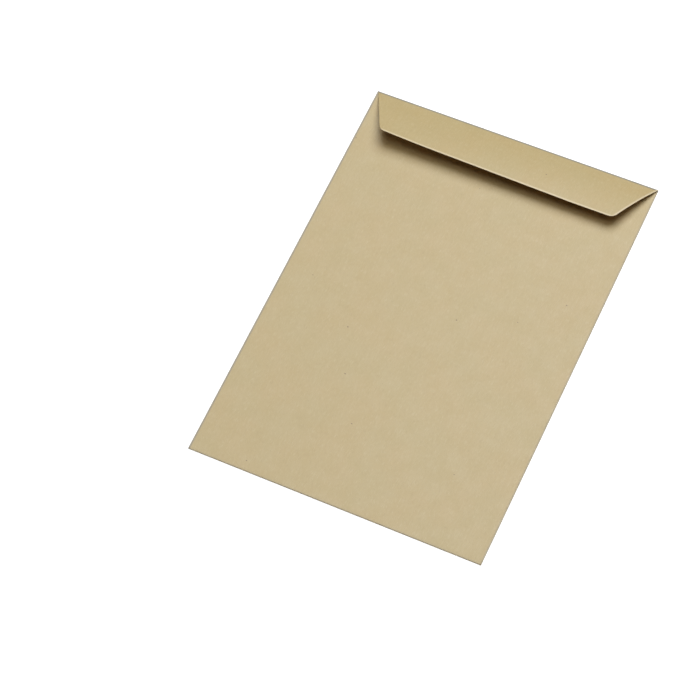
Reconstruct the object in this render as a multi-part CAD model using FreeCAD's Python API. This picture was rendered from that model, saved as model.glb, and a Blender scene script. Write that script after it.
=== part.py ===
"""C4 paper pocket envelope, folded and glued from one sheet of brown kraft paper.

It lies on its plain address side with its back up and its seal flap lifted.
Millimetres. X runs across the envelope, Y towards the flap, Z up. The origin is on
the surface that the envelope lies on, below the middle of its outline.
"""
import FreeCAD
import Part
import math
import os

from FreeCAD import Vector

# the closed envelope and its paper
WIDTH = 229.0
LENGTH = 324.0
PAPER = 0.13

# the pocket
SEAM_WIDTH = 18.0         # side flap, glued under the back panel
SEAM_MITRE = 14.0         # how far each end of a side flap is cut back
SEAM_FOLD_RADIUS = 0.20   # inside radius of the two side folds
BACK_TRIM = 0.50          # back panel's raw edge, in from the start of a side fold
CORNER_NOTCH = 0.30       # gap in the blank between a side flap and its neighbours

# the mouth of the pocket, hidden below the flap
THROAT_DEPTH = 20.0       # from the top fold down to the back panel's raw edge
SHOULDER_DEPTH = 3.0      # the same beside the throat, where the panel reaches up
SHOULDER_WIDTH = 16.0     # of the panel's full height, in from the side
THROAT_RUNOUT = 26.0      # of the slanted cut from shoulder to throat, across
THROAT_RADIUS = 8.0

# the seal flap
FLAP_DEPTH = 41.0         # along the paper, from the top fold to the free edge
FLAP_SHOULDER = 0.50      # each side of the flap at the fold, in from the envelope's side
FLAP_SHIFT = 0.50         # of the whole flap to the right, as the blank was cut
FLAP_INSET = 19.9         # of each slanted side, across, from the fold to the free edge
FLAP_CORNER_RADIUS = 6.0
FLAP_CLEARANCE = 0.30     # between the back panel and the flap, were it shut

# the lifted flap, in degrees: it rises from the fold and bends back towards level,
# more at the right end than at the left, so it is slightly twisted
FLAP_RISE = 25.0
LEFT_BEND = 8.5
RIGHT_BEND = 25.0

# levels, outer radii of the folds, and the lines where flat panels end and folds begin
SEAM_LEVEL = PAPER + 2.0 * SEAM_FOLD_RADIUS
BACK_LEVEL = SEAM_LEVEL + PAPER
BACK_TOP = BACK_LEVEL + PAPER
SEAM_OUTER = SEAM_FOLD_RADIUS + PAPER
BOTTOM_OUTER = BACK_TOP / 2.0
TOP_OUTER = (BACK_TOP + FLAP_CLEARANCE + PAPER) / 2.0
SEAM_LINE = WIDTH / 2.0 - SEAM_OUTER
BOTTOM_LINE = -LENGTH / 2.0 + BOTTOM_OUTER
TOP_LINE = LENGTH / 2.0 - TOP_OUTER
BACK_HALF_WIDTH = SEAM_LINE - BACK_TRIM
FLAP_LEFT = FLAP_SHIFT + FLAP_SHOULDER - WIDTH / 2.0
FLAP_RIGHT = FLAP_SHIFT - FLAP_SHOULDER + WIDTH / 2.0
HALF_TURN = math.pi
UPRIGHT = Vector(0, 0, 1)


def rounded_corner(before, corner, after, radius):
    """Where an arc leaves both sides of a corner, with its middle point."""
    to_before = (before - corner).normalize()
    to_after = (after - corner).normalize()
    half = to_before.getAngle(to_after) / 2.0
    reach = radius / math.tan(half)
    inward = (to_before + to_after).normalize()
    middle = corner + inward * (radius / math.sin(half) - radius)
    return corner + to_before * reach, middle, corner + to_after * reach


def flat_shape(corners, low, thickness):
    """A flat cut shape: (x, y, radius) corners, raised from a level by a thickness."""
    points = [Vector(x, y, low) for x, y, _ in corners]
    edges = []
    stops = []
    for index, (_, _, radius) in enumerate(corners):
        start = end = points[index]
        if radius > 0:
            after = points[(index + 1) % len(points)]
            start, middle, end = rounded_corner(points[index - 1], start, after, radius)
            edges.append(Part.Arc(start, middle, end).toShape())
        stops.append((start, end))
    for index, (_, end) in enumerate(stops):
        start = stops[(index + 1) % len(stops)][0]
        edges.append(Part.LineSegment(end, start).toShape())
    outline = Part.Wire(Part.__sortEdges__(edges))
    return Part.Face(outline).extrude(UPRIGHT * thickness)


def outward(rise):
    """Direction out of the paper's outer side where it has this rise towards -Y."""
    return Vector(0, math.sin(rise), math.cos(rise))


def bent_paper(middle, outer, first, last):
    """Long section of paper bent about a middle point, from one rise to another."""
    inner = outer - PAPER
    steps = [outward(first), outward((first + last) / 2.0), outward(last)]
    outside = [middle + step * outer for step in steps]
    inside = [middle + step * inner for step in reversed(steps)]
    return Part.Wire([
        Part.Arc(*outside).toShape(),
        Part.LineSegment(outside[-1], inside[0]).toShape(),
        Part.Arc(*inside).toShape(),
        Part.LineSegment(inside[-1], outside[0]).toShape(),
    ])


def full_fold(outer, turn, start, run):
    """A fold of half a turn whose round side faces +Y, then turned about Z and placed."""
    section = Part.Face(bent_paper(Vector(0, 0, outer), outer, HALF_TURN, 0.0))
    section.rotate(Vector(0, 0, 0), UPRIGHT, turn)
    section.translate(start)
    return section.extrude(run)


def front_panel():
    """The address side, face down on the surface."""
    corners = [(-SEAM_LINE, BOTTOM_LINE, 0), (SEAM_LINE, BOTTOM_LINE, 0),
               (SEAM_LINE, TOP_LINE, 0), (-SEAM_LINE, TOP_LINE, 0)]
    return flat_shape(corners, 0.0, PAPER)


def side_seam(side):
    """A side fold and its glued side flap: side is 1 for the right and -1 for the left."""
    low = BOTTOM_LINE + CORNER_NOTCH
    high = TOP_LINE - CORNER_NOTCH
    line, inner = side * SEAM_LINE, side * (WIDTH / 2.0 - SEAM_WIDTH)
    fold = full_fold(SEAM_OUTER, -90.0 * side, Vector(line, low, 0), Vector(0, high - low, 0))
    corners = [(line, low, 0), (inner, low + SEAM_MITRE, 0),
               (inner, high - SEAM_MITRE, 0), (line, high, 0)]
    return [fold, flat_shape(corners, SEAM_LEVEL, PAPER)]


def bottom_fold():
    """The fold at the closed end, which carries the back panel."""
    start = Vector(-BACK_HALF_WIDTH, BOTTOM_LINE, 0)
    return full_fold(BOTTOM_OUTER, 180.0, start, Vector(2.0 * BACK_HALF_WIDTH, 0, 0))


def back_panel():
    """The back, glued over the side flaps, with the throat cut into its upper edge."""
    throat = LENGTH / 2.0 - THROAT_DEPTH
    shoulder = LENGTH / 2.0 - SHOULDER_DEPTH
    shoulder_end = WIDTH / 2.0 - SHOULDER_WIDTH
    throat_end = shoulder_end - THROAT_RUNOUT
    right = [(BACK_HALF_WIDTH, BOTTOM_LINE, 0), (BACK_HALF_WIDTH, shoulder, 0),
             (shoulder_end, shoulder, THROAT_RADIUS), (throat_end, throat, THROAT_RADIUS)]
    left = [(-x, y, radius) for x, y, radius in reversed(right)]
    return flat_shape(right + left, BACK_LEVEL, PAPER)


def top_fold():
    """The fold at the open end, from the front panel up to the lifted flap."""
    middle = Vector(FLAP_LEFT, TOP_LINE, TOP_OUTER)
    section = bent_paper(middle, TOP_OUTER, HALF_TURN, math.radians(FLAP_RISE))
    return Part.Face(section).extrude(Vector(FLAP_RIGHT - FLAP_LEFT, 0, 0))


class FlapEnd:
    """The flap's curve at one end of the fold, where it bends back by so many degrees."""

    def __init__(self, across, bend):
        self.first = math.radians(FLAP_RISE)
        self.last = math.radians(FLAP_RISE - bend)
        self.outer = FLAP_DEPTH / math.radians(bend) + PAPER / 2.0
        fold_middle = Vector(across, TOP_LINE, TOP_OUTER)
        self.middle = fold_middle - outward(self.first) * (self.outer - TOP_OUTER)

    def section(self, spare):
        """Closed section, longer than the finished flap by a spare length."""
        return bent_paper(self.middle, self.outer, self.first, self.last - spare / self.outer)

    def edge_y(self):
        """Where the free edge is cut."""
        return (self.middle + outward(self.last) * (self.outer - PAPER / 2.0)).y


def seal_flap():
    """The flap beyond the top fold: curved, slightly twisted and cut to its outline."""
    left, right = FlapEnd(FLAP_LEFT, LEFT_BEND), FlapEnd(FLAP_RIGHT, RIGHT_BEND)
    spare = FLAP_CORNER_RADIUS
    sheet = Part.makeLoft([left.section(spare), right.section(spare)], True, True)
    beyond = LENGTH / 2.0 + spare
    corners = [(FLAP_LEFT, beyond, 0), (FLAP_LEFT, TOP_LINE, 0),
               (FLAP_LEFT + FLAP_INSET, left.edge_y(), FLAP_CORNER_RADIUS),
               (FLAP_RIGHT - FLAP_INSET, right.edge_y(), FLAP_CORNER_RADIUS),
               (FLAP_RIGHT, TOP_LINE, 0), (FLAP_RIGHT, beyond, 0)]
    return sheet.common(flat_shape(corners, 0.0, sheet.BoundBox.ZMax + spare))


def envelope():
    """The whole folded sheet as one solid."""
    pieces = side_seam(-1) + side_seam(1) + [bottom_fold(), back_panel()]
    pieces += [top_fold(), seal_flap()]
    return front_panel().multiFuse(pieces).removeSplitter()


def main():
    """Builds the sheet, checks that it is one sound solid and writes it."""
    os.makedirs("parts", exist_ok=True)
    sheet = envelope()
    if len(sheet.Solids) != 1 or not sheet.isValid():
        raise ValueError("the folded sheet is not one sound solid")
    sheet.Solids[0].exportStep("parts/envelope.step")
    box = sheet.optimalBoundingBox()
    print("envelope", [round(size, 2) for size in (box.XLength, box.YLength, box.ZLength)])
    print("paper in the sheet, square metres", round(sheet.Volume / PAPER / 1e6, 4))


main()
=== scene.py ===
"""Kraft paper pocket envelope as it looks: one sheet, folded, glued and lit in a studio.

The sheet is modelled as it is made. The front panel is laid flat, and each of its four
edges is pulled round a fold into a side flap, the back or the seal flap. The folded sheet
then gets its waves, its finish and the thickness of the paper. Metres, in the frame of
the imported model: X runs across the envelope, Y towards the flap, and Z up from what it
lies on.
"""

import logging
import math
from dataclasses import dataclass
from enum import Enum
from typing import Callable, Sequence, Union

import bmesh
import bpy
from mathutils import Matrix, Vector


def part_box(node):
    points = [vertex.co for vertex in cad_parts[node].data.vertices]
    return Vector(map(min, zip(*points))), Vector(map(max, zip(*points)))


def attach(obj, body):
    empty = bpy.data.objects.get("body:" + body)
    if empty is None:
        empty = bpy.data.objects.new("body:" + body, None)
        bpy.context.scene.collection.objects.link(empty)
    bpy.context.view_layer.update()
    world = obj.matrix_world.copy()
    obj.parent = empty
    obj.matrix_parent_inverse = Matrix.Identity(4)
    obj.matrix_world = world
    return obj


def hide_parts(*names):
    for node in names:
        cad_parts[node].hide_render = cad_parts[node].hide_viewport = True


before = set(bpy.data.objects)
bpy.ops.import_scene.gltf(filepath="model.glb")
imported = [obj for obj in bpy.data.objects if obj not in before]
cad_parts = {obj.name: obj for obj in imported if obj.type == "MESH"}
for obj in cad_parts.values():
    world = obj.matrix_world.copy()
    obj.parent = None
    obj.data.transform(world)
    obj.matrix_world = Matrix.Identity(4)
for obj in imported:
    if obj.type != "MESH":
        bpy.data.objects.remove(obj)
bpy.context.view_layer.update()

LOG = logging.getLogger("envelope")
MM = 0.001
NODE = "envelope"
BODY = "root"
FLAT_PLACE = "flat_place"
UP = Vector((0.0, 0.0, 1.0))
CLOSE = 0.01 * MM        # corners of the coarse sheet nearer to a line than this lie on it
SAME_LEVEL = 0.005 * MM  # the same for levels, below the rise of a fold's last step
CUT_WELD = 1e-7          # a cut uses a corner that it passes nearer than this

Color = tuple[float, float, float]
Socket = bpy.types.NodeSocket
Source = Union[Socket, float, Color]
PlaceTest = Callable[[Vector], bool]
PlaceWeight = Callable[[Vector, Vector], float]
WHITE: Color = (1.0, 1.0, 1.0)


class Axis(Enum):
    """The two directions in the plane of the unfolded sheet."""

    ACROSS = 0
    ALONG = 1

    @property
    def vector(self) -> Vector:
        """Unit vector of the direction."""
        return Vector((1.0, 0.0, 0.0)) if self is Axis.ACROSS else Vector((0.0, 1.0, 0.0))

    @property
    def other(self) -> "Axis":
        """The other direction of the two."""
        return Axis.ALONG if self is Axis.ACROSS else Axis.ACROSS


class Wiring:
    """Short ways to add and join the nodes of one material or of the world."""

    def __init__(self, tree: bpy.types.NodeTree) -> None:
        """Empties a node tree and keeps it."""
        tree.nodes.clear()
        self.tree = tree

    def node(self, kind: str, **settings: object) -> bpy.types.Node:
        """Adds a node.

        Args:
            kind: the node's type name, without the ShaderNode in front.
            **settings: the node's own properties.

        Returns:
            The new node.
        """
        made = self.tree.nodes.new("ShaderNode" + kind)
        for name, value in settings.items():
            setattr(made, name, value)
        return made

    def feed(self, socket: Socket, source: Source) -> None:
        """Links a socket to another one, or gives it a constant.

        Args:
            socket: the input to feed.
            source: an output, or a constant of the input's own kind.
        """
        if isinstance(source, Socket):
            self.tree.links.new(source, socket)
        else:
            socket.default_value = source

    def math(self, operation: str, *values: Source) -> Socket:
        """Works a number out of others.

        Args:
            operation: the name of the sum.
            *values: the numbers that go into it, in order.

        Returns:
            The result.
        """
        made = self.node("Math", operation=operation)
        for socket, value in zip(made.inputs, values):
            self.feed(socket, value)
        return made.outputs[0]

    def ease(self, value: Source, start: float, end: float) -> Socket:
        """Eases from 0 at one value to 1 at another.

        Args:
            value: the number to ease.
            start: where the result is 0.
            end: where the result is 1, above or below the start.

        Returns:
            The eased number.
        """
        made = self.node("MapRange", interpolation_type="SMOOTHSTEP")
        self.feed(made.inputs["Value"], value)
        self.feed(made.inputs["From Min"], start)
        self.feed(made.inputs["From Max"], end)
        return made.outputs["Result"]

    def blend(self, share: Source, first: Source, second: Source) -> Socket:
        """Mixes two colours.

        Args:
            share: how much of the second colour there is, from 0 to 1.
            first: the first colour.
            second: the second colour.

        Returns:
            The mixed colour.
        """
        made = self.node("Mix", data_type="RGBA")
        self.feed(made.inputs["Factor"], share)
        self.feed(made.inputs["A"], with_alpha(first))
        self.feed(made.inputs["B"], with_alpha(second))
        return made.outputs["Result"]

    def stretch(self, vector: Source, scale: Color, turn: float) -> Socket:
        """Turns a pattern's coordinates about Z, then scales them.

        Args:
            vector: the coordinates.
            scale: three factors, the larger the finer the pattern.
            turn: the angle.

        Returns:
            The new coordinates.
        """
        turned = self.node("VectorRotate", rotation_type="Z_AXIS")
        self.feed(turned.inputs["Vector"], vector)
        self.feed(turned.inputs["Angle"], turn)
        made = self.node("VectorMath", operation="MULTIPLY")
        self.feed(made.inputs[0], turned.outputs[0])
        self.feed(made.inputs[1], scale)
        return made.outputs[0]

    def noise(self, vector: Source, scale: float, detail: float) -> Socket:
        """Soft noise.

        Args:
            vector: the coordinates.
            scale: one over the width of a blotch.
            detail: how many finer layers it has.

        Returns:
            A number from 0 to 1, mostly near the middle.
        """
        made = self.node("TexNoise")
        self.feed(made.inputs["Vector"], vector)
        self.feed(made.inputs["Scale"], scale)
        self.feed(made.inputs["Detail"], detail)
        return made.outputs["Fac"]


def with_alpha(color: Source) -> Source:
    """A colour of three numbers gets its fourth, and a socket stays as it is."""
    return (*color, 1.0) if isinstance(color, tuple) else color


def bare_material(name: str) -> tuple[bpy.types.Material, Wiring]:
    """Adds a material without nodes.

    Args:
        name: the material's name.

    Returns:
        The material and the wiring that fills it.
    """
    material = bpy.data.materials.new(name)
    material.use_nodes = True
    return material, Wiring(material.node_tree)


@dataclass(frozen=True)
class FoldShade:
    """How strong the painted shade along a fold is, and how far it reaches to each side."""

    share: float
    reach: float


@dataclass(frozen=True)
class Crease:
    """The middle line of a fold on the unfolded sheet, with its painted shade."""

    axis: Axis
    line: float
    fold_shade: FoldShade


@dataclass(frozen=True)
class FlapOutline:
    """The seal flap on the unfolded sheet, as wide as 2 half at its fold and cut slanting."""

    fold_end: float
    free_edge: float
    half: float
    inset: float
    shift: float


@dataclass(frozen=True)
class Fibers:
    """One family of short fibres in the paper, seen as strokes of their own tone."""

    turn: float
    length: float
    width: float
    rarity: float


@dataclass(frozen=True)
class Blotches:
    """Soft blotches of another tone, as wide as long unless they have a length.

    They begin at one height of their noise, are full at another, and have a share.
    """

    width: float
    detail: float
    begin: float
    full: float
    share: float = 1.0
    length: float | None = None

    def wire(self, wiring: Wiring, place: Socket) -> Socket:
        """Where the blotches lie.

        Args:
            wiring: the material's nodes.
            place: the pattern's coordinates.

        Returns:
            A number from 0 beside a blotch to 1 in its middle.
        """
        if self.length is None:
            noise = wiring.noise(place, 1.0 / self.width, self.detail)
        else:
            scale = (1.0 / self.width, 1.0 / self.length, 1.0)
            noise = wiring.noise(wiring.stretch(place, scale, 0.0), 1.0, self.detail)
        return wiring.ease(noise, self.begin, self.full)


@dataclass(frozen=True)
class KraftFinish:
    """Machine-finished brown kraft paper: fibres, mottling, specks, painted shade along the
    folds and a painted highlight along the flap's cut edge.

    Every pattern follows the unfolded sheet, so that fibres run on across the folds. A
    share is how much of its own tone a pattern adds, a rarity the height of a noise
    above which it shows, and a core the part of a reach that gets the full share.
    """

    name: str
    base: Color
    warm: Color
    pale: Color
    roughness: tuple[float, float]
    index: float
    # Share of the painted shade along the folds.
    fold_shade: float
    # Share of the painted highlight along the flap's free edge and right side.
    edge_highlight: float
    specular: float = 1.0
    fiber_dark: Color = (0.330, 0.230, 0.090)
    fiber_pale: Color = (0.625, 0.545, 0.330)
    speck: Color = (0.150, 0.075, 0.025)
    # Grey of the painted shade along the folds.
    crease: Color = (0.225, 0.215, 0.175)
    # Pale tone of the cut edges, and of the painted highlight along the flap's free edge and
    # right side.
    cut: Color = (0.645, 0.540, 0.340)
    mottling: Blotches = Blotches(36.0 * MM, 6.0, 0.35, 0.65, 0.45)
    clouds: Blotches = Blotches(13.0 * MM, 2.0, 0.30, 0.70, 0.18)
    streaks: Blotches = Blotches(2.6 * MM, 2.0, 0.30, 0.75, 0.22, length=30.0 * MM)
    dark_fibers: tuple[Fibers, ...] = (
        Fibers(math.radians(4.0), 5.0 * MM, 0.34 * MM, 0.70),
        Fibers(math.radians(-31.0), 4.0 * MM, 0.30 * MM, 0.72),
        Fibers(math.radians(48.0), 3.4 * MM, 0.30 * MM, 0.73),
    )
    pale_fibers: tuple[Fibers, ...] = (
        Fibers(math.radians(-9.0), 5.5 * MM, 0.40 * MM, 0.68),
        Fibers(math.radians(27.0), 4.2 * MM, 0.34 * MM, 0.70),
        Fibers(math.radians(81.0), 3.0 * MM, 0.30 * MM, 0.73),
    )
    fiber_ease: tuple[float, float] = (-0.04, 0.06)
    dark_share: float = 0.24
    pale_share: float = 0.20
    speck_cell: float = 7.0 * MM
    speck_size: float = 0.09
    speck_rarity: float = 0.80
    speck_share: float = 0.7
    # Part of a fold's reach that gets the full painted shade.
    crease_core: float = 0.5
    # Reach of the painted highlight along the flap's edge, and the part of it at full strength.
    edge_highlight_reach: float = 1.9 * MM
    edge_highlight_core: float = 0.4
    grain_width: float = 0.35 * MM
    grain_detail: float = 2.0
    fiber_relief: float = 0.5
    relief_share: float = 0.35
    relief_height: float = 0.02 * MM
    cut_grain: Blotches = Blotches(0.3 * MM, 3.0, 0.3, 0.7)
    cut_roughness: float = 0.8

    def strokes(self, wiring: Wiring, place: Socket, families: Sequence[Fibers]) -> Source:
        """Where the fibres of some families lie.

        Args:
            wiring: the material's nodes.
            place: coordinates on the unfolded sheet.
            families: the families of fibres, by direction.

        Returns:
            A number that is 1 on a fibre and 0 beside it.
        """
        seen: Source = 0.0
        low, high = self.fiber_ease
        for fibers in families:
            scale = (1.0 / fibers.width, 1.0 / fibers.length, 1.0)
            grain = wiring.noise(wiring.stretch(place, scale, fibers.turn), 1.0, 0.0)
            stroke = wiring.ease(grain, fibers.rarity + low, fibers.rarity + high)
            seen = wiring.math("MAXIMUM", seen, stroke)
        return seen

    def specks(self, wiring: Wiring, place: Socket) -> Socket:
        """Small round impurities of brown bark, in some cells of a scattered pattern.

        Args:
            wiring: the material's nodes.
            place: coordinates on the unfolded sheet.

        Returns:
            A number that is 1 in a speck and 0 beside it.
        """
        cells = wiring.node("TexVoronoi", feature="F1")
        wiring.feed(cells.inputs["Vector"], place)
        wiring.feed(cells.inputs["Scale"], 1.0 / self.speck_cell)
        tint = wiring.node("SeparateColor")
        wiring.feed(tint.inputs[0], cells.outputs["Color"])
        radius = wiring.math("MULTIPLY", tint.outputs["Green"], self.speck_size)
        inside = wiring.math("LESS_THAN", cells.outputs["Distance"], radius)
        chosen = wiring.math("GREATER_THAN", tint.outputs["Red"], self.speck_rarity)
        return wiring.math("MULTIPLY", inside, chosen)

    def fold_shading(self, wiring: Wiring, apart: bpy.types.Node,
                 creases: Sequence[Crease]) -> Source:
        """How much painted shade lies along the folds: a darker grey line in place of the
        shading of the rounded folds.

        Args:
            wiring: the material's nodes.
            apart: the node that gives the coordinates on the unfolded sheet one by one.
            creases: the folds.

        Returns:
            The fold's share of painted shade by its line, easing to 0 at the end of its reach.
        """
        shaded: Source = 0.0
        for crease in creases:
            coordinate = apart.outputs[crease.axis.value]
            gap = wiring.math("ABSOLUTE", wiring.math("SUBTRACT", coordinate, crease.line))
            reach = crease.fold_shade.reach
            by_line = wiring.ease(gap, reach, reach * self.crease_core)
            share = wiring.math("MULTIPLY", by_line, crease.fold_shade.share)
            shaded = wiring.math("MAXIMUM", shaded, share)
        return shaded

    def painted_edge_highlight(self, wiring: Wiring, apart: bpy.types.Node, flap: FlapOutline) -> Socket:
        """A painted highlight: a pale line along the seal flap's free edge and right side,
        beside the shadow under the flap.

        The left side gets none.

        Args:
            wiring: the material's nodes.
            apart: the node that gives the coordinates on the unfolded sheet one by one.
            flap: the seal flap's outline on the unfolded sheet.

        Returns:
            A number that is 1 along the cut, easing to 0 a little way in.
        """
        to_edge = wiring.math("SUBTRACT", flap.free_edge, apart.outputs["Y"])
        slope = flap.inset / (flap.free_edge - flap.fold_end)
        half = wiring.math("MULTIPLY_ADD", to_edge, slope, flap.half - flap.inset + flap.shift)
        to_side = wiring.math("SUBTRACT", half, apart.outputs["X"])
        to_side = wiring.math("MULTIPLY", to_side, math.cos(math.atan(slope)))
        gap = wiring.math("MINIMUM", to_edge, to_side)
        on_flap = wiring.math("GREATER_THAN", apart.outputs["Y"], flap.fold_end)
        highlighted = wiring.ease(gap, self.edge_highlight_reach, self.edge_highlight_reach * self.edge_highlight_core)
        return wiring.math("MULTIPLY", highlighted, on_flap)

    def relief(self, wiring: Wiring, place: Socket, fibers: Socket) -> Socket:
        """The fine grain of the paper, with its fibres.

        Args:
            wiring: the material's nodes.
            place: coordinates on the unfolded sheet.
            fibers: how much the fibres stand out.

        Returns:
            The normal that the shader gets.
        """
        grain = wiring.noise(place, 1.0 / self.grain_width, self.grain_detail)
        bump = wiring.node("Bump")
        wiring.feed(bump.inputs["Height"], wiring.math("ADD", grain, fibers))
        wiring.feed(bump.inputs["Strength"], self.relief_share)
        wiring.feed(bump.inputs["Distance"], self.relief_height)
        return bump.outputs["Normal"]

    def face_material(self, creases: Sequence[Crease], flap: FlapOutline) -> bpy.types.Material:
        """The finish of one face of the paper.

        Args:
            creases: the folds on the unfolded sheet.
            flap: the seal flap's outline on the unfolded sheet.

        Returns:
            The material.
        """
        material, wiring = bare_material(self.name)
        place = wiring.node("Attribute", attribute_name=FLAT_PLACE).outputs["Vector"]
        apart = wiring.node("SeparateXYZ")
        wiring.feed(apart.inputs[0], place)

        clouds = self.clouds.wire(wiring, place)
        dark = self.strokes(wiring, place, self.dark_fibers)
        pale = self.strokes(wiring, place, self.pale_fibers)
        layers = (
            (self.mottling.wire(wiring, place), self.mottling.share, self.warm),
            (clouds, self.clouds.share, self.pale),
            (self.streaks.wire(wiring, place), self.streaks.share, self.pale),
            (dark, self.dark_share, self.fiber_dark),
            (pale, self.pale_share, self.fiber_pale),
            (self.specks(wiring, place), self.speck_share, self.speck),
            # Painted shade along the folds.
            (self.fold_shading(wiring, apart, creases), self.fold_shade, self.crease),
            # Painted highlight along the flap's free edge and right side.
            (self.painted_edge_highlight(wiring, apart, flap), self.edge_highlight, self.cut),
        )
        color: Source = self.base
        for pattern, share, tone in layers:
            color = wiring.blend(wiring.math("MULTIPLY", pattern, share), color, tone)

        low, high = self.roughness
        spread = wiring.math("MULTIPLY", clouds, high - low)
        fibers = wiring.math("MULTIPLY", wiring.math("SUBTRACT", pale, dark), self.fiber_relief)
        paper = self.shader(wiring)
        wiring.feed(paper.inputs["Base Color"], color)
        wiring.feed(paper.inputs["Roughness"], wiring.math("ADD", spread, low))
        wiring.feed(paper.inputs["Normal"], self.relief(wiring, place, fibers))
        return material

    def cut_material(self) -> bpy.types.Material:
        """The finish of the cut edges.

        Returns:
            The material, paler and rougher than the faces, with the ends of fibres.
        """
        material, wiring = bare_material("kraft_paper_cut")
        ends = self.cut_grain.wire(wiring, wiring.node("TexCoord").outputs["Object"])
        paper = self.shader(wiring)
        wiring.feed(paper.inputs["Base Color"], wiring.blend(ends, self.pale, self.cut))
        wiring.feed(paper.inputs["Roughness"], self.cut_roughness)
        return material

    def shader(self, wiring: Wiring) -> bpy.types.Node:
        """Adds the paper's shader and joins it to the material's output.

        Args:
            wiring: the material's nodes.

        Returns:
            The shader, whose colour and roughness are still to be fed.
        """
        paper = wiring.node("BsdfPrincipled")
        wiring.feed(paper.inputs["IOR"], self.index)
        wiring.feed(paper.inputs["Specular IOR Level"], self.specular)
        output = wiring.node("OutputMaterial")
        wiring.feed(output.inputs["Surface"], paper.outputs["BSDF"])
        return paper


OUTER_SIDE = KraftFinish(
    name="kraft_paper_outer",
    base=(0.456, 0.352, 0.147),
    warm=(0.478, 0.341, 0.132),
    pale=(0.490, 0.393, 0.184),
    roughness=(0.57, 0.61),
    index=1.56,
    # Full painted shade along the folds.
    fold_shade=1.0,
    # A strong painted highlight along the flap's free edge and right side.
    edge_highlight=0.85,
)
INNER_SIDE = KraftFinish(
    name="kraft_paper_inner",
    base=(0.560, 0.365, 0.200),
    warm=(0.570, 0.355, 0.190),
    pale=(0.590, 0.410, 0.235),
    roughness=(0.76, 0.82),
    index=1.35,
    # A weak painted shade along the folds on the inner side.
    fold_shade=0.3,
    # No painted highlight on the inner side.
    edge_highlight=0.0,
)


class SheetBench:
    """Edit-mode tools for a sheet that has no thickness yet.

    The sheet grows from picked border edges, and each new corner notes its place on the
    unfolded sheet, which cuts then carry on to the points between.
    """

    def __init__(self, name: str, low: Vector, high: Vector) -> None:
        """Lays down the first flat panel.

        Args:
            name: the piece's name.
            low: the panel's lowest corner.
            high: the panel's highest corner, on the same level.
        """
        bpy.ops.object.select_all(action="DESELECT")
        middle, size = (low + high) / 2.0, high - low
        bpy.ops.mesh.primitive_plane_add(size=1.0, location=(0.0, 0.0, 0.0))
        self.sheet = bpy.context.object
        self.sheet.name = self.sheet.data.name = name
        self.sheet.data.attributes.new(FLAT_PLACE, "FLOAT_VECTOR", "POINT")
        bpy.ops.object.mode_set(mode="EDIT")
        bpy.ops.transform.resize(value=(size.x, size.y, 1.0))
        bpy.ops.transform.translate(value=middle)
        self.note(lambda corner: Vector((corner.x, corner.y, 0.0)))

    def mesh(self) -> bmesh.types.BMesh:
        """The mesh under edit."""
        return bmesh.from_edit_mesh(self.sheet.data)

    def note(self, unrolled: Callable[[Vector], Vector]) -> None:
        """Notes where each selected corner lies on the unfolded sheet.

        Args:
            unrolled: gives a corner's place on the unfolded sheet from its place.
        """
        mesh = self.mesh()
        layer = mesh.verts.layers.float_vector[FLAT_PLACE]
        for corner in mesh.verts:
            if corner.select:
                corner[layer] = unrolled(corner.co)
        bmesh.update_edit_mesh(self.sheet.data)

    def note_line(self, axis: Axis, unrolled: float) -> None:
        """Notes the selected corners on one line across a direction of the sheet."""
        keep = axis.other.vector
        self.note(lambda corner: keep * corner.dot(keep) + axis.vector * unrolled)

    def pick_border(self, test: PlaceTest) -> None:
        """Selects the border edges both of whose ends pass a test."""
        self.pick("EDGE", lambda edge: edge.is_boundary and all(test(v.co) for v in edge.verts))

    def pick_corners(self, test: PlaceTest) -> None:
        """Selects the corners that pass a test."""
        self.pick("VERT", lambda corner: test(corner.co))

    def pick_faces(self, test: PlaceTest) -> None:
        """Selects the faces all of whose corners pass a test."""
        self.pick("FACE", lambda face: all(test(corner.co) for corner in face.verts))

    def pick(self, kind: str, test: Callable[[object], bool]) -> None:
        """Selects elements of one kind, and nothing else.

        Args:
            kind: VERT, EDGE or FACE.
            test: says of an element whether it is selected.
        """
        bpy.ops.mesh.select_mode(type=kind)
        bpy.ops.mesh.select_all(action="DESELECT")
        mesh = self.mesh()
        elements = {"VERT": mesh.verts, "EDGE": mesh.edges, "FACE": mesh.faces}[kind]
        for element in elements:
            if test(element):
                element.select_set(True)
        mesh.select_flush_mode()
        bmesh.update_edit_mesh(self.sheet.data)

    def pull(self, move: Vector, axis: Axis, unrolled: float) -> None:
        """Extrudes the picked edges.

        Args:
            move: how far and which way.
            axis: the direction in which the unfolded sheet grows.
            unrolled: the new edges' coordinate on the unfolded sheet in that direction.
        """
        bpy.ops.mesh.extrude_region_move(TRANSFORM_OT_translate={"value": move})
        self.note_line(axis, unrolled)

    def narrow(self, ratio: float) -> None:
        """Scales the picked edge about its own middle.

        Args:
            ratio: the new length over the old one.
        """
        ends = [corner.co for corner in self.mesh().verts if corner.select]
        middle = sum(ends, Vector()) / len(ends)
        bpy.ops.transform.resize(value=(ratio, ratio, ratio), center_override=middle)

    def turn(self, about: str, angle: float, middle: Vector) -> None:
        """Turns the picked edge about X, Y or Z through a middle point."""
        bpy.ops.transform.rotate(value=angle, orient_axis=about, center_override=middle)

    def cut(self, axis: Axis, place: float) -> None:
        """Cuts the selected faces along the straight line at one place on an axis."""
        bpy.ops.mesh.bisect(plane_co=axis.vector * place, plane_no=axis.vector,
                            threshold=CUT_WELD)

    def round_corners(self, radius: float, turn: float, steps: int) -> None:
        """Rounds the selected corners, at which the outline changes direction by a turn."""
        bpy.ops.mesh.bevel(offset=radius * math.tan(turn / 2.0), segments=steps,
                           affect="VERTICES")

    def finish(self) -> bpy.types.Object:
        """Closes the edit and hands over the sheet."""
        bpy.ops.object.mode_set(mode="OBJECT")
        return self.sheet


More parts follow.
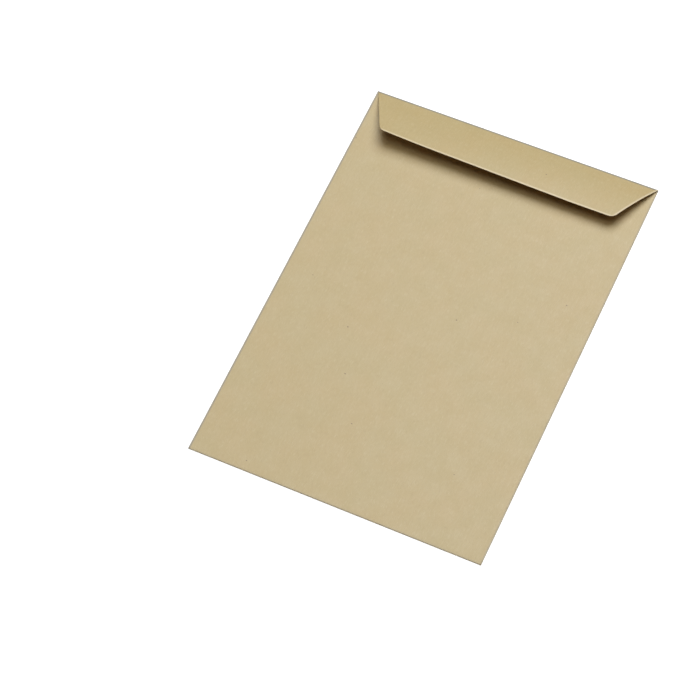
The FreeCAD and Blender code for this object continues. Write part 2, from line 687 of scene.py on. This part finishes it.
@dataclass(frozen=True)
class Fold:
    """One fold of the sheet: its outer radius and how far it turns the paper back."""

    outer: float
    turn: float = math.pi
    steps: int = 10

    def middle_radius(self, paper: float) -> float:
        """Radius of the paper's middle."""
        return self.outer - paper / 2.0

    def chord(self, paper: float) -> float:
        """Length of one straight step round the middle of the paper."""
        return 2.0 * self.middle_radius(paper) * math.sin(self.turn / self.steps / 2.0)

    def run(self, paper: float) -> float:
        """Length of the whole fold round the middle of the paper."""
        return self.chord(paper) * self.steps

    def moves(self, away: Vector, paper: float) -> list[Vector]:
        """The straight steps round the fold.

        Args:
            away: the flat direction in which the fold starts off.
            paper: the paper's thickness.

        Returns:
            One move for each step.
        """
        chord, part = self.chord(paper), self.turn / self.steps
        leans = [part * (index + 0.5) for index in range(self.steps)]
        return [(away * math.cos(lean) + UP * math.sin(lean)) * chord for lean in leans]


@dataclass
class FoldedSheet:
    """The envelope's one sheet of paper, from the flat front panel to the lifted flap."""

    width: float
    length: float
    paper: float = 0.13 * MM
    seam_width: float = 18.0 * MM
    seam_mitre: float = 14.0 * MM
    seam_fold_radius: float = 0.20 * MM
    back_trim: float = 0.50 * MM
    corner_notch: float = 0.30 * MM
    corner_spread: float = 0.25 * MM
    corner_steps: int = 6
    throat_depth: float = 20.0 * MM
    shoulder_depth: float = 3.0 * MM
    shoulder_width: float = 16.0 * MM
    throat_runout: float = 26.0 * MM
    throat_radius: float = 8.0 * MM
    flap_depth: float = 40.8 * MM
    flap_shoulder: float = 0.30 * MM
    flap_shift: float = 0.30 * MM
    flap_inset: float = 19.9 * MM
    flap_corner_radius: float = 6.0 * MM
    flap_clearance: float = 0.30 * MM
    flap_rise: float = math.radians(25.0)
    left_bend: float = math.radians(8.5)
    right_bend: float = math.radians(25.0)
    flap_steps: int = 12
    flap_last_step: float = 4.2 * MM
    grid: float = 5.0 * MM
    fold_margin: float = 0.60 * MM
    slack_reach: float = 26.0 * MM
    waves: float = 0.14 * MM
    wave_width: float = 95.0 * MM
    sag: float = 0.15 * MM
    curl: float = 1.7 * MM
    curl_reach: float = 48.0 * MM
    curl_shape: float = 1.4
    curl_in_middle: float = 0.15
    smooth_angle: float = math.radians(40.0)
    # Painted shade along the four folds: its strength and reach for each.
    left_fold_shade: FoldShade = FoldShade(0.65, 2.0 * MM)
    right_fold_shade: FoldShade = FoldShade(0.35, 1.5 * MM)
    bottom_fold_shade: FoldShade = FoldShade(0.20, 1.8 * MM)
    top_fold_shade: FoldShade = FoldShade(0.95, 2.6 * MM)
    outer_side: KraftFinish = OUTER_SIDE
    inner_side: KraftFinish = INNER_SIDE

    def __post_init__(self) -> None:
        """Works out the levels, folds and lines that follow from the sizes."""
        self.seam_fold = Fold(self.seam_fold_radius + self.paper)
        self.seam_level = self.paper * 1.5 + 2.0 * self.seam_fold_radius
        self.back_level = self.seam_level + self.paper
        self.bottom_fold = Fold((self.back_level + self.paper / 2.0) / 2.0)
        stack = self.back_level + self.paper / 2.0 + self.flap_clearance + self.paper
        self.top_fold = Fold(stack / 2.0, math.pi - self.flap_rise)
        self.seam_line = self.width / 2.0 - self.seam_fold.outer
        self.bottom_line = -self.length / 2.0 + self.bottom_fold.outer
        self.top_line = self.length / 2.0 - self.top_fold.outer
        self.back_half = self.seam_line - self.back_trim
        self.throat_line = self.length / 2.0 - self.throat_depth
        self.shoulder_line = self.length / 2.0 - self.shoulder_depth
        self.shoulder_end = self.width / 2.0 - self.shoulder_width
        self.throat_end = self.shoulder_end - self.throat_runout
        self.flap_half = self.width / 2.0 - self.flap_shoulder
        fold_end = self.top_line + self.top_fold.run(self.paper)
        self.flap_outline = FlapOutline(fold_end, fold_end + self.flap_depth, self.flap_half,
                                        self.flap_inset, self.flap_shift)

    def build(self) -> bpy.types.Object:
        """Folds the sheet, gives it its thickness and its finish.

        Returns:
            The finished piece.
        """
        bench = self.front()
        self.side_seam(bench, -1.0)
        self.side_seam(bench, 1.0)
        self.back(bench)
        self.flap(bench)
        self.lay_grid(bench)
        sheet = bench.finish()
        self.slacken(sheet)
        self.dress(sheet)
        self.thicken(sheet)
        LOG.info("%s: %d faces", sheet.name, len(sheet.data.polygons))
        return sheet

    def front(self) -> SheetBench:
        """Lays down the front panel, a flat plane on the surface.

        Returns:
            The tools, with the new sheet in edit mode.
        """
        level = self.paper / 2.0
        low = Vector((-self.seam_line, self.bottom_line, level))
        high = Vector((self.seam_line, self.top_line, level))
        return SheetBench("envelope_sheet", low, high)

    def round_fold(self, bench: SheetBench, fold: Fold, axis: Axis, side: float,
                   line: float, ratio: float) -> float:
        """Pulls the picked edge round a fold.

        Args:
            bench: the tools, with the edge picked.
            fold: the fold.
            axis: the direction in which the unfolded sheet grows.
            side: 1 or -1, for growing with or against that direction.
            line: where the fold starts on the unfolded sheet.
            ratio: the edge's length after the fold's first step over that before it.

        Returns:
            Where the fold ends on the unfolded sheet.
        """
        for index, move in enumerate(fold.moves(axis.vector * side, self.paper)):
            line += side * fold.chord(self.paper)
            bench.pull(move, axis, line)
            if index == 0:
                bench.narrow(ratio)
                bench.note_line(axis, line)
        return line

    def side_seam(self, bench: SheetBench, side: float) -> None:
        """Folds one side over and carries on into its glue flap, with mitred ends.

        Args:
            bench: the tools.
            side: -1 for the left side and 1 for the right.
        """
        bench.pick_border(lambda v: side * v.x > self.seam_line - CLOSE)
        span = self.top_line - self.bottom_line
        ratio = 1.0 - 2.0 * self.corner_notch / span
        line = side * self.seam_line
        line = self.round_fold(bench, self.seam_fold, Axis.ACROSS, side, line, ratio)
        reach = self.seam_width - self.seam_fold.outer
        line += side * reach
        bench.pull(Vector((-side * reach, 0.0, 0.0)), Axis.ACROSS, line)
        bench.narrow(1.0 - 2.0 * self.seam_mitre / (span * ratio))
        bench.note_line(Axis.ACROSS, line)

    def back(self, bench: SheetBench) -> None:
        """Folds the back up over the side flaps, with a throat in its upper edge.

        Args:
            bench: the tools.
        """
        bench.pick_border(lambda v: v.y < self.bottom_line + CLOSE)
        fold_half = self.seam_line + self.corner_spread
        line = self.round_fold(bench, self.bottom_fold, Axis.ALONG, -1.0, self.bottom_line,
                               fold_half / self.seam_line)
        bench.narrow(self.back_half / fold_half)
        bench.note_line(Axis.ALONG, line)
        reach = self.throat_line - self.bottom_line
        bench.pull(Vector((0.0, reach, 0.0)), Axis.ALONG, line - reach)
        self.raise_shoulders(bench, line - reach)
        self.round_throat(bench)
        bench.pick_corners(self.on_back)
        bench.note(lambda v: Vector((v.x, line - (v.y - self.bottom_line), 0.0)))

    def on_back(self, v: Vector) -> bool:
        """Whether a place is on the level of the back."""
        return abs(v.z - self.back_level) < SAME_LEVEL

    def raise_shoulders(self, bench: SheetBench, line: float) -> None:
        """Pulls the back further up on both sides of the throat, whose sides slant.

        Args:
            bench: the tools, with the back pulled up to the throat's lower edge.
            line: where that edge lies along the unfolded sheet.
        """
        for place in (-self.throat_end, self.throat_end):
            bench.pick_faces(self.on_back)
            bench.cut(Axis.ACROSS, place)
        rise = self.shoulder_line - self.throat_line
        for side in (-1.0, 1.0):
            bench.pick_border(lambda v: self.on_back(v) and v.y > self.throat_line - CLOSE
                              and side * v.x > self.throat_end - CLOSE)
            bench.pull(Vector((0.0, rise, 0.0)), Axis.ALONG, line - rise)
            bench.pick_corners(lambda v: self.on_back(v) and v.y > self.shoulder_line - CLOSE
                               and abs(v.x - side * self.throat_end) < CLOSE)
            bpy.ops.transform.translate(value=(side * self.throat_runout, 0.0, 0.0))
        bench.pick_faces(self.on_back)
        bpy.ops.mesh.dissolve_faces(use_verts=False)

    def round_throat(self, bench: SheetBench) -> None:
        """Rounds the four corners of the throat.

        Args:
            bench: the tools, with the throat's straight outline in place.
        """
        spots = ((self.throat_end, self.throat_line), (self.shoulder_end, self.shoulder_line))

        def at_corner(v: Vector) -> bool:
            """Whether a corner of the sheet is one of the throat's."""
            gaps = [math.hypot(abs(v.x) - x, v.y - y) for x, y in spots]
            return self.on_back(v) and min(gaps) < CLOSE

        bench.pick_corners(at_corner)
        turn = math.atan2(self.shoulder_line - self.throat_line, self.throat_runout)
        bench.round_corners(self.throat_radius, turn, self.corner_steps)

    def flap(self, bench: SheetBench) -> None:
        """Folds the top over and lifts the seal flap, curved and slightly twisted.

        At each step the edge leans and swings a little more, as its two ends bend
        differently.

        Args:
            bench: the tools.
        """
        line = self.fold_top(bench)
        start = Vector((self.flap_shift, self.top_line, self.paper / 2.0))
        middle = start + sum(self.top_fold.moves(Axis.ALONG.vector, self.paper), Vector())
        left, right = Vector(), Vector()
        half, lean, swing, out = self.flap_half, 0.0, 0.0, 0.0
        for stop in self.flap_stops():
            step, share = stop - out, (out + stop) / 2.0 / self.flap_depth
            left_step = self.flap_step(self.left_bend, share) * step
            right_step = self.flap_step(self.right_bend, share) * step
            left, right = left + left_step, right + right_step
            move = (left_step + right_step) / 2.0
            line += step
            middle += move
            bench.pull(move, Axis.ALONG, line)
            next_half = self.flap_half - self.flap_inset * stop / self.flap_depth
            bench.narrow(next_half / half)
            next_lean = self.flap_tilt(right.z - left.z)
            next_swing = self.flap_tilt(right.y - left.y)
            bench.turn("Y", next_lean - lean, middle)
            bench.turn("Z", swing - next_swing, middle)
            bench.note_line(Axis.ALONG, line)
            half, lean, swing, out = next_half, next_lean, next_swing, stop
        self.round_flap(bench, middle, line)

    def fold_top(self, bench: SheetBench) -> float:
        """Folds the top edge over, up to the flap's width and place at its fold.

        Args:
            bench: the tools.

        Returns:
            Where the fold ends on the unfolded sheet.
        """
        bench.pick_border(lambda v: v.y > self.top_line - CLOSE and v.z < self.paper)
        fold_half = self.seam_line + self.corner_spread
        line = self.round_fold(bench, self.top_fold, Axis.ALONG, 1.0, self.top_line,
                               fold_half / self.seam_line)
        bench.narrow(self.flap_half / fold_half)
        bpy.ops.transform.translate(value=(self.flap_shift, 0.0, 0.0))
        bench.note_line(Axis.ALONG, line)
        return line

    def flap_stops(self) -> list[float]:
        """Where the steps end in which the flap is pulled out.

        Returns:
            Distances from the fold: first the margin by the fold, then even steps, then
            a long one at the free edge, where the corners are rounded.
        """
        span = self.flap_depth - self.flap_last_step - self.fold_margin
        even = [self.fold_margin + span * index / self.flap_steps
                for index in range(self.flap_steps + 1)]
        return even + [self.flap_depth]

    def flap_step(self, bend: float, share: float) -> Vector:
        """Direction of the flap at one end of the fold, some share of the way out."""
        rise = self.flap_rise - bend * share
        return Vector((0.0, -math.cos(rise), math.sin(rise)))

    def flap_tilt(self, apart: float) -> float:
        """Angle of an edge of the flap whose right end has got so far past its left end."""
        return math.atan2(apart, 2.0 * self.flap_half)

    def round_flap(self, bench: SheetBench, middle: Vector, line: float) -> None:
        """Rounds the two corners of the free edge.

        Args:
            bench: the tools.
            middle: middle of the free edge.
            line: where the free edge lies along the unfolded sheet.
        """
        nearly = middle.y + self.flap_last_step / 2.0
        bench.pick_corners(lambda v: v.y < nearly and v.z > middle.z / 2.0)
        slant = math.atan2(self.top_line - middle.y, self.flap_inset)
        bench.round_corners(self.flap_corner_radius, slant, self.corner_steps)
        bench.note(lambda v: Vector((v.x, line - max(0.0, v.y - self.edge_y(v.x, middle)), 0.0)))

    def edge_y(self, x: float, middle: Vector) -> float:
        """Where the slightly slanting free edge lies at some place across.

        Args:
            x: the place across.
            middle: middle of the free edge.

        Returns:
            The edge's Y there.
        """
        left = self.flap_depth * self.mean_run(self.left_bend)
        right = self.flap_depth * self.mean_run(self.right_bend)
        return middle.y + (left - right) / (2.0 * self.flap_half) * (x - middle.x)

    def mean_run(self, bend: float) -> float:
        """How far the flap reaches in plan, as a share of its depth."""
        last = self.flap_rise - bend
        return (math.sin(self.flap_rise) - math.sin(last)) / bend

    def lay_grid(self, bench: SheetBench) -> None:
        """Cuts the coarse sheet into small faces, which can bend a little.

        The lines a margin inside the folds keep the smooth shading of the folds off the
        flat panels.

        Args:
            bench: the tools, with the whole sheet in place.
        """
        for place in self.grid_lines(self.width):
            bench.pick("FACE", lambda face: True)
            bench.cut(Axis.ACROSS, place)
        side = self.seam_line - self.fold_margin
        ends = [self.bottom_line + self.fold_margin, self.top_line - self.fold_margin]
        cuts = [(Axis.ACROSS, place) for place in (-side, side)]
        cuts += [(Axis.ALONG, place) for place in self.grid_lines(self.length) + ends]
        for axis, place in cuts:
            bench.pick("FACE", lambda face: self.is_pocket(bench, face))
            bench.cut(axis, place)

    def is_pocket(self, bench: SheetBench, face: bmesh.types.BMFace) -> bool:
        """Whether a face is part of the flat pocket and not of the top fold or the flap."""
        layer = bench.mesh().verts.layers.float_vector[FLAT_PLACE]
        return all(corner[layer].y < self.top_line + CLOSE for corner in face.verts)

    def grid_lines(self, span: float) -> list[float]:
        """Evenly spaced lines inside a span that is centred on the origin."""
        count = round(span / self.grid)
        return [span * (index / count - 0.5) for index in range(1, count)]

    def slacken(self, sheet: bpy.types.Object) -> None:
        """Lets the back wave and sag and the seal flap curl, as unpressed paper does.

        Args:
            sheet: the folded sheet without thickness.
        """
        loose = self.weigh(sheet, "loose", self.looseness)
        curled = self.weigh(sheet, "curled", self.curl_share)
        wave = self.lift(sheet, "waves", loose, self.waves)
        wave.mid_level = 0.5
        wave.texture_coords = "LOCAL"
        wave.texture = bpy.data.textures.new("paper_waves", "CLOUDS")
        wave.texture.noise_scale = self.wave_width
        wave.texture.noise_depth = 1
        self.lift(sheet, "sag", loose, -self.sag)
        self.lift(sheet, "curl", curled, self.curl)
        for name in ("waves", "sag", "curl"):
            bpy.ops.object.modifier_apply(modifier=name)

    def weigh(self, sheet: bpy.types.Object, name: str, share: PlaceWeight) -> str:
        """Puts the sheet's corners into a new vertex group.

        Args:
            sheet: the folded sheet.
            name: the group's name.
            share: gives a corner's weight from its place and that on the unfolded sheet.

        Returns:
            The group's name.
        """
        places = [item.vector.copy() for item in sheet.data.attributes[FLAT_PLACE].data]
        group = sheet.vertex_groups.new(name=name)
        for corner, place in zip(sheet.data.vertices, places):
            weight = share(corner.co, place)
            if weight > 0.0:
                group.add([corner.index], weight, "REPLACE")
        return group.name

    def lift(self, sheet: bpy.types.Object, name: str, group: str,
             height: float) -> bpy.types.DisplaceModifier:
        """Adds a modifier that lifts a group of corners straight up.

        Args:
            sheet: the folded sheet.
            name: the modifier's name.
            group: the name of the vertex group.
            height: how far a corner of full weight goes, less than 0 for down.

        Returns:
            The modifier.
        """
        lift = sheet.modifiers.new(name, "DISPLACE")
        lift.direction = "Z"
        lift.strength = height
        lift.mid_level = 0.0
        lift.vertex_group = group
        return lift

    def looseness(self, corner: Vector, place: Vector) -> float:
        """How freely the back and the side flaps move, easing from their folds inward.

        Args:
            corner: a corner of the sheet.
            place: the same corner on the unfolded sheet.

        Returns:
            0 at a fold, on the front panel and on the seal flap, and 1 well inside.
        """
        if corner.z < self.seam_level / 2.0 or place.y > self.top_line:
            return 0.0
        inward = min(self.seam_line - abs(corner.x), corner.y - self.bottom_line)
        share = min(1.0, max(0.0, inward / self.slack_reach))
        return share * share * (3.0 - 2.0 * share)

    def curl_share(self, _corner: Vector, place: Vector) -> float:
        """How much of the curl a place on the seal flap gets.

        Args:
            _corner: a corner of the sheet, which has no say in this.
            place: the same corner on the unfolded sheet.

        Returns:
            0 at the fold and 1 at the two free corners.
        """
        out = (place.y - self.flap_outline.fold_end) / self.flap_depth
        if out <= 0.0:
            return 0.0
        end = self.flap_half - self.flap_inset * out
        inward = end - abs(place.x - self.flap_shift)
        near_end = max(0.0, 1.0 - inward / self.curl_reach)
        return min(1.0, out * out * max(self.curl_in_middle, near_end ** self.curl_shape))

    def thicken(self, sheet: bpy.types.Object) -> None:
        """Gives the sheet the thickness of the paper, half of it on each side.

        Args:
            sheet: the sheet, whose materials are the inner side, the outer side and the cut.
        """
        wall = sheet.modifiers.new("paper", "SOLIDIFY")
        wall.thickness = self.paper
        wall.offset = 0.0
        wall.use_even_offset = True
        wall.material_offset = 1
        wall.material_offset_rim = 2
        bpy.ops.object.modifier_apply(modifier="paper")
        bpy.ops.object.shade_smooth_by_angle(angle=self.smooth_angle)

    def creases(self) -> list[Crease]:
        """The folds on the unfolded sheet.

        Returns:
            The left, right, bottom and top fold.
        """
        side = self.seam_line + self.seam_fold.run(self.paper) / 2.0
        bottom = self.bottom_line - self.bottom_fold.run(self.paper) / 2.0
        top = self.top_line + self.top_fold.run(self.paper) / 2.0
        return [
            Crease(Axis.ACROSS, -side, self.left_fold_shade),
            Crease(Axis.ACROSS, side, self.right_fold_shade),
            Crease(Axis.ALONG, bottom, self.bottom_fold_shade),
            Crease(Axis.ALONG, top, self.top_fold_shade),
        ]

    def dress(self, sheet: bpy.types.Object) -> None:
        """Puts the finish on, ties the sheet to its body and hides the imported part that it
        stands in for.

        Args:
            sheet: the folded sheet.
        """
        for side in (self.inner_side, self.outer_side):
            sheet.data.materials.append(side.face_material(self.creases(), self.flap_outline))
        sheet.data.materials.append(self.outer_side.cut_material())
        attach(sheet, BODY)
        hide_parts(NODE)


@dataclass(frozen=True)
class Softbox:
    """An oval studio lamp with a soft cloth front, aimed at a spot."""

    name: str
    place: tuple[float, float, float]
    size: tuple[float, float]
    watts: float
    color: Color
    aim: tuple[float, float, float] = (0.0, 0.0, 0.0)

    def hang(self) -> None:
        """Adds the lamp to the scene."""
        lamp = bpy.data.lights.new(self.name, "AREA")
        lamp.shape = "ELLIPSE"
        lamp.size, lamp.size_y = self.size
        lamp.energy = self.watts
        lamp.color = self.color
        holder = bpy.data.objects.new(self.name, lamp)
        holder.location = self.place
        facing = Vector(self.aim) - Vector(self.place)
        holder.rotation_euler = facing.to_track_quat("-Z", "Y").to_euler()
        holder.visible_camera = False
        bpy.context.scene.collection.objects.link(holder)


@dataclass(frozen=True)
class Studio:
    """A white floor, two soft lamps overhead and a little light all round."""

    floor_size: float = 12.0
    floor_white: float = 0.90
    floor_lift: float = 0.30
    surround: Color = (0.058, 0.046, 0.042)
    softboxes: tuple[Softbox, ...] = (
        Softbox(
            name="key_softbox",
            place=(0.07, 1.62, 3.20),
            size=(2.98, 2.37),
            watts=110.0,
            color=(0.893, 0.930, 1.0),
        ),
        Softbox(
            name="fill_softbox",
            place=(0.05, 0.35, 3.20),
            size=(3.42, 2.50),
            watts=43.0,
            color=(1.0, 0.930, 0.800),
        ),
    )

    def build(self) -> None:
        """Sets up the surround, the floor and the lamps."""
        bpy.context.scene.view_settings.view_transform = "Standard"
        self.light_surround()
        self.lay_floor()
        for softbox in self.softboxes:
            softbox.hang()
        LOG.info("studio: %d softboxes", len(self.softboxes))

    def light_surround(self) -> None:
        """Dim all round, and white where the camera sees past the floor."""
        world = bpy.data.worlds.new("studio_surround")
        world.use_nodes = True
        bpy.context.scene.world = world
        wiring = Wiring(world.node_tree)
        seen = wiring.node("LightPath").outputs["Is Camera Ray"]
        air = wiring.node("Background")
        wiring.feed(air.inputs["Color"], wiring.blend(seen, self.surround, WHITE))
        output = wiring.node("OutputWorld")
        wiring.feed(output.inputs["Surface"], air.outputs[0])

    def lay_floor(self) -> None:
        """A matt white floor that the camera sees as white, except in a shadow."""
        bpy.ops.object.select_all(action="DESELECT")
        bpy.ops.mesh.primitive_plane_add(size=self.floor_size)
        floor = bpy.context.object
        floor.name = "studio_floor"
        material, wiring = bare_material("floor_white")
        matt = wiring.node("BsdfDiffuse")
        wiring.feed(matt.inputs["Color"], with_alpha((self.floor_white,) * 3))
        seen = wiring.node("LightPath").outputs["Is Camera Ray"]
        lift = wiring.node("Emission")
        wiring.feed(lift.inputs["Strength"], wiring.math("MULTIPLY", seen, self.floor_lift))
        both = wiring.node("AddShader")
        wiring.feed(both.inputs[0], matt.outputs[0])
        wiring.feed(both.inputs[1], lift.outputs[0])
        output = wiring.node("OutputMaterial")
        wiring.feed(output.inputs["Surface"], both.outputs[0])
        floor.data.materials.append(material)


@dataclass(frozen=True)
class PhotoCamera:
    """The camera at the photograph's place, worked out from the envelope's corners."""

    place: tuple[float, float, float] = (0.46346, -0.77939, 1.73451)
    right: tuple[float, float, float] = (0.90221, 0.42320, -0.08322)
    up: tuple[float, float, float] = (-0.34518, 0.82418, 0.44897)
    lens: float = 138.402
    sensor: float = 36.0

    def build(self) -> None:
        """Sets the camera up and makes it the scene's own."""
        lens = bpy.data.cameras.new("photo_camera")
        lens.lens = self.lens
        lens.sensor_width = self.sensor
        lens.sensor_fit = "HORIZONTAL"
        holder = bpy.data.objects.new("photo_camera", lens)
        right, up = Vector(self.right).normalized(), Vector(self.up).normalized()
        turn = Matrix((right, up, right.cross(up))).transposed()
        holder.matrix_world = Matrix.Translation(self.place) @ turn.to_4x4()
        bpy.context.scene.collection.objects.link(holder)
        bpy.context.scene.camera = holder
        LOG.info("camera: %.1f mm lens", self.lens)


def main() -> None:
    """Builds the sheet, the studio and the camera, in that order."""
    logging.basicConfig(level=logging.INFO, format="%(name)s: %(message)s")
    low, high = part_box(NODE)
    size = Vector(high) - Vector(low)
    FoldedSheet(width=size.x, length=size.y).build()
    Studio().build()
    PhotoCamera().build()


if __name__ == "__main__":
    main()
